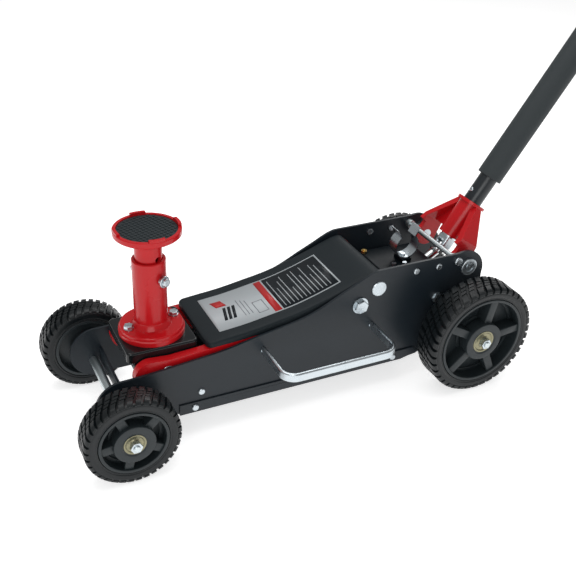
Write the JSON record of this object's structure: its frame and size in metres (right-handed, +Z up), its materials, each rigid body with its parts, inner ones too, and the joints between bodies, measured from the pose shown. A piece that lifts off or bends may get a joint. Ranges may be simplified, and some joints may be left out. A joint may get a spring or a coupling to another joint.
{
  "type": "hydraulic floor jack",
  "caption": "Long low hydraulic trolley jack on four spoked wheels: lever arm with levelled saddle, extension column, power unit and tilting pump handle.",
  "frame": {"origin": "on the ground, in the middle of the whole jack's box with the handle at rest", "axes": "+X from the saddle towards the handle, +Y to the jack's right side, +Z up"},
  "size_m": [1.4682, 0.396, 1.2194],
  "materials": {
    "black_paint": "satin powder coat",
    "black_casting": "gloss black paint over cast iron",
    "red_paint": "gloss red powder coat",
    "zinc": "bright zinc plate",
    "ground_steel": "ground and polished",
    "brass": "plain",
    "yellow_zinc": "yellow zinc plate",
    "tyre_rubber": "moulded rubber",
    "rim_plastic": "moulded, satin",
    "pad_rubber": "moulded knobs",
    "soft_sleeve": "foam rubber"
  },
  "bodies": {
    "chassis": {"side_plate_left": "black_paint", "side_plate_right": "black_paint", "skid_plate": "black_paint", "frame_screws": "zinc", "frame_nuts": "zinc", "front_tie_bar": "black_paint", "rear_tie_bar": "zinc", "front_axle": "zinc", "rear_axle": "zinc", "axle_spacers": "zinc", "axle_nuts": "zinc", "carry_handle_left": "zinc", "arm_pivot_shaft": "zinc", "link_anchor_shaft": "zinc", "link_anchor_bolts": "zinc", "handle_pivot_pins": "zinc", "pump_block": "black_paint", "ram_cylinder": "black_paint", "oil_tank": "black_paint", "filler_plug": "brass", "power_unit_bolts": "zinc", "storage_clip": "zinc"},
    "lift_arm": {"lift_arm": "red_paint", "arm_cover": "black_paint", "head_pin": "zinc", "ram_pin": "zinc"},
    "levelling_links": {"levelling_links": "zinc", "link_pin": "zinc"},
    "saddle_head": {"saddle_head": "black_casting", "extension_sleeve": "red_paint", "flange_bolts": "zinc"},
    "ram_rod": {"ram_rod": "ground_steel"},
    "locking_pin": {"locking_pin": "zinc", "pin_clip": "zinc"},
    "extension_tube": {"extension_tube": "red_paint"},
    "saddle": {"saddle_cup": "red_paint", "saddle_pad": "pad_rubber"},
    "handle_socket": {"handle_socket": "red_paint", "pump_roller": "zinc"},
    "handle": {"handle_lower_tube": "black_paint", "handle_upper_tube": "black_paint", "handle_sleeve": "soft_sleeve", "handle_grip": "soft_sleeve", "joint_fork": "zinc"},
    "handle_button": {"handle_button": "zinc"},
    "release_valve": {"valve_shaft": "ground_steel"},
    "pump_plunger": {"pump_plunger": "ground_steel"},
    "wheel_front_left": {"tyre_front_left": "tyre_rubber", "rim_front_left": "rim_plastic", "bearing_front_left": "yellow_zinc"},
    "wheel_front_right": {"tyre_front_right": "tyre_rubber", "rim_front_right": "rim_plastic", "bearing_front_right": "yellow_zinc"},
    "wheel_rear_left": {"tyre_rear_left": "tyre_rubber", "rim_rear_left": "rim_plastic", "bearing_rear_left": "yellow_zinc"},
    "wheel_rear_right": {"tyre_rear_right": "tyre_rubber", "rim_rear_right": "rim_plastic", "bearing_rear_right": "yellow_zinc"}
  },
  "joints": [
    {"name": "arm_lift", "type": "hinge", "parent": "chassis", "child": "lift_arm", "pos_m": [-0.13808, 0, 0.23], "axis": [0, 1, 0], "range_deg": [0, 50]},
    {"name": "head_level", "type": "hinge", "parent": "lift_arm", "child": "saddle_head", "pos_m": [-0.55408, 0, 0.146], "axis": [0, 1, 0], "range_deg": [-50, 0]},
    {"name": "link_swing", "type": "hinge", "parent": "chassis", "child": "levelling_links", "pos_m": [-0.17708, 0, 0.202], "axis": [0, 1, 0], "range_deg": [0, 50]},
    {"name": "ram_extend", "type": "slide", "parent": "chassis", "child": "ram_rod", "axis": [-1, 0, 0], "range_m": [0, 0.0804]},
    {"name": "locking_pin_pull", "type": "slide", "parent": "saddle_head", "child": "locking_pin", "axis": [0.44, -0.898, 0], "range_m": [0, 0.088]},
    {"name": "extension_lift", "type": "slide", "parent": "saddle_head", "child": "extension_tube", "axis": [0, 0, 1], "range_m": [0, 0.045]},
    {"name": "saddle_swivel", "type": "hinge", "parent": "extension_tube", "child": "saddle", "pos_m": [-0.55708, 0, 0.381], "axis": [0, 0, 1], "continuous": true},
    {"name": "handle_tilt", "type": "hinge", "parent": "chassis", "child": "handle_socket", "pos_m": [0.06442, 0, 0.2372], "axis": [0, 1, 0], "range_deg": [-30, 36]},
    {"name": "pump_stroke", "type": "slide", "parent": "chassis", "child": "pump_plunger", "axis": [-0.848, 0, -0.5299], "range_m": [-0.0172, 0.0206]},
    {"name": "handle_twist", "type": "hinge", "parent": "handle_socket", "child": "handle", "pos_m": [0.06442, 0, 0.2372], "axis": [0.5577, 0, 0.83], "range_deg": [0, 180]},
    {"name": "valve_turn", "type": "hinge", "parent": "chassis", "child": "release_valve", "pos_m": [0.06442, 0, 0.2372], "axis": [0.848, 0, 0.5299], "range_deg": [0, 180]},
    {"name": "button_press", "type": "slide", "parent": "handle", "child": "handle_button", "axis": [0.83, 0, -0.5577], "range_m": [0, 0.0038], "stiffness_N_per_m": 400, "springref_m": -0.003},
    {"name": "wheel_spin_front_left", "type": "hinge", "parent": "chassis", "child": "wheel_front_left", "pos_m": [-0.64808, -0.1514, 0.086], "axis": [0, 1, 0], "continuous": true},
    {"name": "wheel_spin_front_right", "type": "hinge", "parent": "chassis", "child": "wheel_front_right", "pos_m": [-0.64808, 0.1514, 0.086], "axis": [0, 1, 0], "continuous": true},
    {"name": "wheel_spin_rear_left", "type": "hinge", "parent": "chassis", "child": "wheel_rear_left", "pos_m": [0.05692, -0.152, 0.116], "axis": [0, 1, 0], "continuous": true},
    {"name": "wheel_spin_rear_right", "type": "hinge", "parent": "chassis", "child": "wheel_rear_right", "pos_m": [0.05692, 0.152, 0.116], "axis": [0, 1, 0], "continuous": true}
  ],
  "couplings": [
    {"joint": "head_level", "follows": "arm_lift", "ratio": -1},
    {"joint": "link_swing", "follows": "arm_lift", "ratio": 1},
    {"joint": "ram_extend", "follows": "arm_lift", "m_per_rad": 0.092},
    {"joint": "pump_stroke", "follows": "handle_tilt", "m_per_rad": 0.032504},
    {"joint": "valve_turn", "follows": "handle_twist", "ratio": 1}
  ]
}
